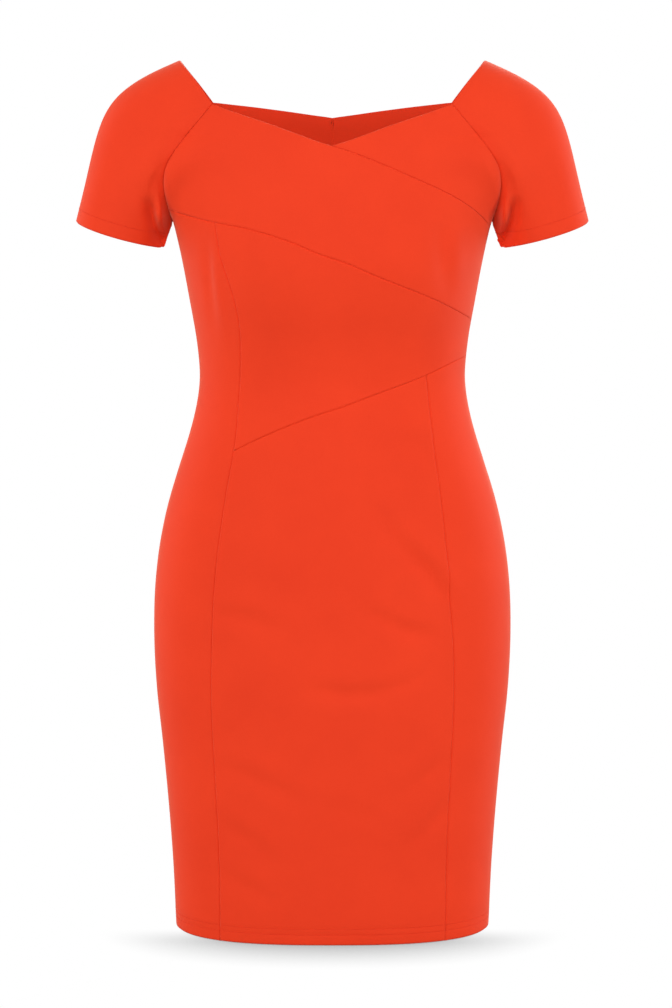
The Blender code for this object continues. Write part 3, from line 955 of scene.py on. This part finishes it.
# %% [markdown]
# A stitch line is one run round the skirt or the cuff, but its points come from several
# pieces, in no order. So they are sorted by their turn round the middle of the ring, and
# stitches are laid at even steps along it, each turned to lie along the line and flat on
# the cloth. An Array modifier on a curve could do it too, but it wouldn't follow the
# cloth's own normals.

# %% Lay stitches along the kept lines
STITCH_STEP = 0.0031
STITCH_PROUD = 0.4          # of the thread's radius, from the cloth to a stitch's middle


def laid_stitches(name, kept, centre, axis, start):
    """Stitches along a closed line of points and normals that runs round an axis."""
    places = np.array([place for place, _ in kept])
    normals = np.array([normal for _, normal in kept])
    side = np.cross(axis, start)
    turn = np.arctan2((places - centre) @ side, (places - centre) @ start)
    order = turn.argsort()
    places, normals = places[order], normals[order]
    places, normals = np.vstack((places, places[:1])), np.vstack((normals, normals[:1]))
    run = np.append(0.0, np.linalg.norm(np.diff(places, axis=0), axis=1).cumsum())
    count = int(run[-1] / STITCH_STEP)
    copies = []
    for mark in np.linspace(0.0, run[-1], count, endpoint=False):
        ahead = min(mark + STITCH_STEP / 2.0, run[-1])
        at, beyond, out = (
            Vector([np.interp(where, run, values[:, axis]) for axis in range(3)])
            for where, values in ((mark, places), (ahead, places), (mark, normals)))
        along = (beyond - at).normalized()
        out = (out - along * out.dot(along)).normalized()
        turned = Matrix((along, out.cross(along), out)).transposed().to_4x4()
        copy = bpy.data.objects.new(name, stitch.data.copy())
        copy.matrix_world = Matrix.Translation(at + out * THREAD_RADIUS * STITCH_PROUD) @ turned
        scene.collection.objects.link(copy)
        copies.append(copy)
    only(copies[0])
    for copy in copies:
        copy.select_set(True)
    bpy.ops.object.join()
    bpy.ops.object.transform_apply(location=True, rotation=True, scale=True)
    row = bpy.context.object
    row.name = name
    only(row)
    bpy.ops.object.shade_smooth()
    print(f"{name}: {count} stitches")
    return row


MIDDLE = np.zeros(3)
UPWARD = np.array((0.0, 0.0, 1.0))
LEFTWARD = np.array((1.0, 0.0, 0.0))
stitch_rows = [laid_stitches(line, stitch_lines[line], MIDDLE, UPWARD, LEFTWARD)
               for line in ("hem_low", "hem_high")]
left_cuff = laid_stitches("left_cuff_stitches", stitch_lines["cuff"], np.array(CUFF_CENTRE),
                          np.array(UP_SLEEVE), np.array(CUFF_OUTWARD))
right_cuff = mirrored(left_cuff, "right_cuff_stitches")
stitch_rows += [left_cuff, right_cuff]
stitch_rows[0].name = "hem_stitches_low"
stitch_rows[1].name = "hem_stitches_high"
bpy.data.objects.remove(stitch)

# %% [markdown]
# ## The crepe finish
#
# Crepe jersey is matt. Its hard-twisted yarns crinkle into a fine pebbled grain, and its
# loose fibres catch light from the side, which shows as a paler bloom where the cloth
# turns away. The grain is a node group, because cloth and thread both use it. It reads
# Object coordinates, which suits a pebbled grain that has no direction. The bloom is the
# Principled shader's own sheen.

# %% A node group for the fine grain
def add_node(tree, kind, place, **settings):
    """A node at a place in the editor, with its settings."""
    node = tree.nodes.new(kind)
    node.location = place
    for name, value in settings.items():
        setattr(node, name, value)
    return node


def fill(node, values):
    """Sets a node's input sockets, by their names or numbers."""
    for socket, value in values.items():
        node.inputs[socket].default_value = value


def wire(tree, *wires):
    """Links nodes. Each wire is a node and its output, then a node and its input."""
    for source, output, target, socket in wires:
        tree.links.new(source.outputs[output], target.inputs[socket])


GRAIN_INPUTS = ("Grains per metre", "Clouds per metre", "Ripples per metre")
RIPPLE_HEIGHT = 3.0         # times the height of the grain
PEBBLE_SHARE = 0.45         # of the shade comes from the pebbles, the rest from the clouds


def grain_group():
    """Fine pebbled grain on faint ripples: a height for bump, and a shade for slight
    colour changes."""
    group = bpy.data.node_groups.new("Crepe grain", "ShaderNodeTree")
    sockets = group.interface
    sockets.new_socket("Place", in_out="INPUT", socket_type="NodeSocketVector")
    for name in GRAIN_INPUTS:
        sockets.new_socket(name, in_out="INPUT", socket_type="NodeSocketFloat")
    for name in ("Height", "Shade"):
        sockets.new_socket(name, in_out="OUTPUT", socket_type="NodeSocketFloat")
    given = add_node(group, "NodeGroupInput", (-700, 0))
    result = add_node(group, "NodeGroupOutput", (500, 0))
    pebbles = add_node(group, "ShaderNodeTexNoise", (-400, 200))
    fill(pebbles, {"Detail": 2.0, "Roughness": 0.55})
    clouds = add_node(group, "ShaderNodeTexNoise", (-400, -150))
    fill(clouds, {"Detail": 3.0})
    ripples = add_node(group, "ShaderNodeTexNoise", (-400, 500))
    fill(ripples, {"Detail": 1.0})
    relief = add_node(group, "ShaderNodeMath", (-100, 350), operation="MULTIPLY_ADD")
    fill(relief, {1: RIPPLE_HEIGHT})
    both = add_node(group, "ShaderNodeMath", (-100, -50), operation="MULTIPLY_ADD")
    fill(both, {1: PEBBLE_SHARE})
    rest = add_node(group, "ShaderNodeMath", (-250, -300), operation="MULTIPLY")
    fill(rest, {1: 1.0 - PEBBLE_SHARE})
    for name, noise in zip(GRAIN_INPUTS, (pebbles, clouds, ripples)):
        wire(group, (given, "Place", noise, "Vector"), (given, name, noise, "Scale"))
    wire(group,
         (clouds, "Fac", rest, 0), (pebbles, "Fac", both, 0), (rest, "Value", both, 2),
         (ripples, "Fac", relief, 0), (pebbles, "Fac", relief, 2),
         (relief, "Value", result, "Height"), (both, "Value", result, "Shade"))
    return group


GRAIN = grain_group()
print("Grain group:", [node.name for node in GRAIN.nodes])

# %% [markdown]
# Dyed crepe is never one flat colour. Here it wanders between two close shades, with the
# grain and with soft clouds some centimetres wide, and the sewing thread is a little
# deeper. A picture of crepe could be laid on instead, but it would need unwrapping, and a
# pattern that the shader works out stays sharp from near by.

# %% The crepe and the thread
RAMP = (0.3, 0.7)           # shades that give the deep and the bright colour
BUMP_STRENGTH = 0.5
FINISH = {"Roughness": 0.82, "Diffuse Roughness": 0.5, "Specular IOR Level": 0.2,
          "Sheen Roughness": 0.30, "Sheen Tint": (1.0, 0.90, 0.60, 1.0)}


def cloth_material(name, deep, bright, scales, bump, sheen):
    """A matt cloth, between two close colours, with the grain at its own scales."""
    material = bpy.data.materials.new(name)
    material.use_nodes = True
    tree = material.node_tree
    shader = tree.nodes["Principled BSDF"]
    place = add_node(tree, "ShaderNodeTexCoord", (-900, 0))
    grain = add_node(tree, "ShaderNodeGroup", (-650, 0), node_tree=GRAIN)
    fill(grain, dict(zip(GRAIN_INPUTS, scales)))
    colour = add_node(tree, "ShaderNodeValToRGB", (-400, 150))
    for stop, position, shade in zip(colour.color_ramp.elements, RAMP, (deep, bright)):
        stop.position = position
        stop.color = (*shade, 1.0)
    relief = add_node(tree, "ShaderNodeBump", (-300, -200))
    fill(relief, {"Strength": BUMP_STRENGTH, "Distance": bump})
    wire(tree,
         (place, "Object", grain, "Place"),
         (grain, "Shade", colour, "Fac"), (colour, "Color", shader, "Base Color"),
         (grain, "Height", relief, "Height"), (relief, "Normal", shader, "Normal"))
    fill(shader, {"Sheen Weight": sheen, **FINISH})
    return material


CREPE = cloth_material("Orange-red crepe jersey",
                       deep=(0.80, 0.045, 0.010), bright=(0.86, 0.054, 0.012),
                       scales=(1100.0, 14.0, 55.0), bump=0.00010, sheen=0.16)
THREAD = cloth_material("Orange-red thread",
                        deep=(0.71, 0.032, 0.007), bright=(0.81, 0.042, 0.009),
                        scales=(2600.0, 300.0, 300.0), bump=0.00005, sheen=0.15)
for piece in cloth_pieces:
    piece.data.materials.append(CREPE)
for row in stitch_rows:
    row.data.materials.clear()
    row.data.materials.append(THREAD)
print(f"{CREPE.name} on {len(cloth_pieces)} pieces, {THREAD.name} on {len(stitch_rows)} rows")

# %% [markdown]
# ## Handing the pieces to the frame
#
# Each piece rides on the one body of the dress and takes the place of its CAD node, which
# is hidden. The table gives the size of the rectangle that each piece was cut from and the
# area of the cut, and each piece's worn area is printed as a share of its cut. Stretch
# crepe is cut about 2 percent smaller than it is worn.

# %% Attach every piece and hide its CAD node
# piece: CAD node, width and length of the cut, its area, what it is sewn to
CUTS = {
    "wrap_band": ("front_wrap_band", (0.43, 0.30), 0.056, ["yoke", "waist_wedge"]),
    "yoke": ("front_yoke", (0.26, 0.13), 0.016, ["wrap_band", "left_sleeve"]),
    "waist_wedge": ("front_waist_wedge", (0.33, 0.26), 0.047, ["wrap_band", "skirt_front"]),
    "side_front": ("front_side_panel", (0.17, 0.78), 0.099, ["waist_wedge", "right_back"]),
    "skirt_front": ("front_skirt_centre", (0.27, 0.62), 0.148, ["waist_wedge", "side_front"]),
    "skirt_side_front": ("front_skirt_side", (0.16, 0.63), 0.079, ["waist_wedge", "left_back"]),
    "left_back": ("back_left", (0.28, 0.89), 0.213, ["skirt_side_front", "right_back"]),
    "right_back": ("back_right", (0.28, 0.89), 0.213, ["side_front", "left_back"]),
    "left_sleeve": ("sleeve_left", (0.36, 0.23), 0.056, ["yoke", "left_back"]),
    "right_sleeve": ("sleeve_right", (0.36, 0.23), 0.056, ["wrap_band", "right_back"]),
}

for piece in cloth_pieces:
    node, flat, area, sewn_to = CUTS[piece.name]
    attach(piece, "root")
    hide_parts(node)
    print(f"{piece.name}: worn area is {sheet_area(piece) / area:.2f} of the cut")
for row in stitch_rows:
    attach(row, "root")
for piece in cloth_pieces:
    node, flat, area, sewn_to = CUTS[piece.name]

# %% [markdown]
# ## Studio
#
# The dress stands on a white floor that runs into the same white all round. A plain white
# floor under studio lights comes out as patches of grey, so to the camera this one glows
# evenly. Its glow darkens only in a painted soft shadow in front of the hem, cast by no
# lamp: ambient occlusion finds where the dress stands close over the floor, and a mask by
# depth keeps the rest clear. As a bounce of light the floor is plain grey, so that it
# doesn't work as a lamp from below.

# %% The floor
FLOOR_SIZE = 60.0
FLOOR_GAP = 0.0004
FLOOR_BOUNCE = (0.45, 0.45, 0.45, 1.0)
FLOOR_FINISH = {"Base Color": FLOOR_BOUNCE, "Roughness": 0.9, "Specular IOR Level": 0.1}
SHADOW_RAYS = 8
SHADOW_REACH = 0.090
SHADOW_START = -0.035       # y, just in front of the middle
SHADOW_FULL = -0.100
SHADOW_SHARE = 0.95


def floor():
    """A white floor just under the hem. The camera sees it glow even white, with a painted
    shadow only where the dress stands close over it. As a bounce of light it is grey."""
    bpy.ops.object.select_all(action="DESELECT")
    bpy.ops.mesh.primitive_plane_add(size=FLOOR_SIZE, location=(0.0, 0.0, HEM - FLOOR_GAP))
    plane = bpy.context.object
    plane.name = "studio_floor"
    bpy.ops.object.transform_apply(location=True)
    material = bpy.data.materials.new("White studio floor")
    material.use_nodes = True
    tree = material.node_tree
    result = tree.nodes["Material Output"]
    shader = tree.nodes["Principled BSDF"]
    fill(shader, FLOOR_FINISH)
    # Painted shadow: ambient occlusion dims the floor's glow to the camera, in front of the hem
    # only, cast by no lamp.
    open_sky = add_node(tree, "ShaderNodeAmbientOcclusion", (-400, 500), samples=SHADOW_RAYS)
    fill(open_sky, {"Distance": SHADOW_REACH})
    place = add_node(tree, "ShaderNodeTexCoord", (-900, 700))
    apart = add_node(tree, "ShaderNodeSeparateXYZ", (-700, 700))
    before = add_node(tree, "ShaderNodeMapRange", (-500, 800), interpolation_type="SMOOTHSTEP")
    fill(before, {"From Min": SHADOW_START, "From Max": SHADOW_FULL, "To Max": SHADOW_SHARE})
    shade = add_node(tree, "ShaderNodeMix", (-300, 650), data_type="FLOAT")
    fill(shade, {"A": 1.0})
    glow = add_node(tree, "ShaderNodeEmission", (-150, 450))
    seen = add_node(tree, "ShaderNodeLightPath", (-150, 800))
    either = add_node(tree, "ShaderNodeMixShader", (120, 400))
    wire(tree,
         (place, "Object", apart, "Vector"), (apart, "Y", before, "Value"),
         (before, "Result", shade, "Factor"), (open_sky, "AO", shade, "B"),
         (shade, "Result", glow, "Strength"), (seen, "Is Camera Ray", either, "Fac"),
         (shader, "BSDF", either, 1), (glow, "Emission", either, 2),
         (either, "Shader", result, "Surface"))
    plane.data.materials.append(material)


floor()
print(f"The floor lies {FLOOR_GAP * MM:.1f} mm under the hem")

# %% [markdown]
# The surround is the world's own background. The camera sees it as full white, like the
# floor. As a light it is dimmer, or it would wash out the soft shadows that shape the
# dress. A white sphere round everything would do too, but it would have to stand outside
# the lights.

# %% The surround
SURROUND = 0.34
WHITE = (1.0, 1.0, 1.0, 1.0)


def surround():
    """White all round: full white to the camera, and dimmer as a light."""
    world = bpy.data.worlds.new("White surround")
    world.use_nodes = True
    tree = world.node_tree
    tree.nodes.clear()
    seen = add_node(tree, "ShaderNodeLightPath", (-600, 200))
    strength = add_node(tree, "ShaderNodeMapRange", (-350, 100))
    fill(strength, {"To Min": SURROUND, "To Max": 1.0})
    light = add_node(tree, "ShaderNodeBackground", (-100, 100))
    fill(light, {"Color": WHITE})
    result = add_node(tree, "ShaderNodeOutputWorld", (150, 100))
    wire(tree,
         (seen, "Is Camera Ray", strength, "Value"), (strength, "Result", light, "Strength"),
         (light, "Background", result, "Surface"))
    scene.world = world


surround()
scene.view_settings.view_transform = "Standard"
print("World:", scene.world.name)

# %% [markdown]
# Clothes are photographed under large soft lights, because small lamps draw hard shadows.
# The main light is in front and above, with a weaker one in front, level with the
# shoulders. Two tall ones at the sides light the turned parts of sleeves and skirt, and
# two tall ones behind graze the outline, where the crepe's bloom shows. One more, behind
# and above, lights the back. The wearer's left gets a little more light than the right.

# %% The lights
DRESS_MIDDLE = (0.0, 0.0, -0.45)
# name: place, width, height, watts
LIGHTS = {
    "front_soft": ((-0.5, -3.2, 1.3), 2.0, 1.6, 65.0),
    "front_level": ((0.0, -3.4, 0.0), 1.6, 1.6, 13.0),
    "side_left": ((2.4, -0.9, 0.0), 0.8, 1.8, 20.5),
    "side_right": ((-2.4, -0.9, 0.0), 0.8, 1.8, 12.5),
    "left_edge": ((1.7, 1.1, -0.1), 0.6, 1.8, 22.0),
    "right_edge": ((-1.7, 1.1, -0.1), 0.6, 1.8, 14.0),
    "back_soft": ((0.4, 3.0, 1.0), 1.6, 1.4, 60.0),
}


def aimed(place, target):
    """The rotation that looks from a place to a target."""
    return (Vector(target) - Vector(place)).to_track_quat("-Z", "Y").to_euler()


for name, (place, width, height, watts) in LIGHTS.items():
    bpy.ops.object.select_all(action="DESELECT")
    bpy.ops.object.light_add(type="AREA", location=place, rotation=aimed(place, DRESS_MIDDLE))
    lamp = bpy.context.object
    lamp.name = name
    lamp.data.shape = "RECTANGLE"
    lamp.data.size = width
    lamp.data.size_y = height
    lamp.data.energy = watts

print(f"{len(LIGHTS)} lights")

# %% [markdown]
# ## Camera
#
# The photograph was taken from nearly 3 m away with a long lens, a little above the
# dress's middle and tilted down by about 6 degrees, so the far side of the neck just shows.

# %% Place the camera
CAMERA_PLACE = (0.0038, -2.94, -0.1412)
CAMERA_TARGET = (0.0038, 0.0, -0.4637)
CAMERA_LENS = 100.0
CAMERA_SENSOR = 36.0        # both in millimetres

bpy.ops.object.camera_add(location=CAMERA_PLACE, rotation=aimed(CAMERA_PLACE, CAMERA_TARGET))
camera = bpy.context.object
camera.name = "photo_camera"
camera.data.lens = CAMERA_LENS
camera.data.sensor_width = CAMERA_SENSOR
scene.camera = camera
print(f"Camera {-CAMERA_PLACE[1]:.2f} m away, {CAMERA_LENS:.0f} mm lens")
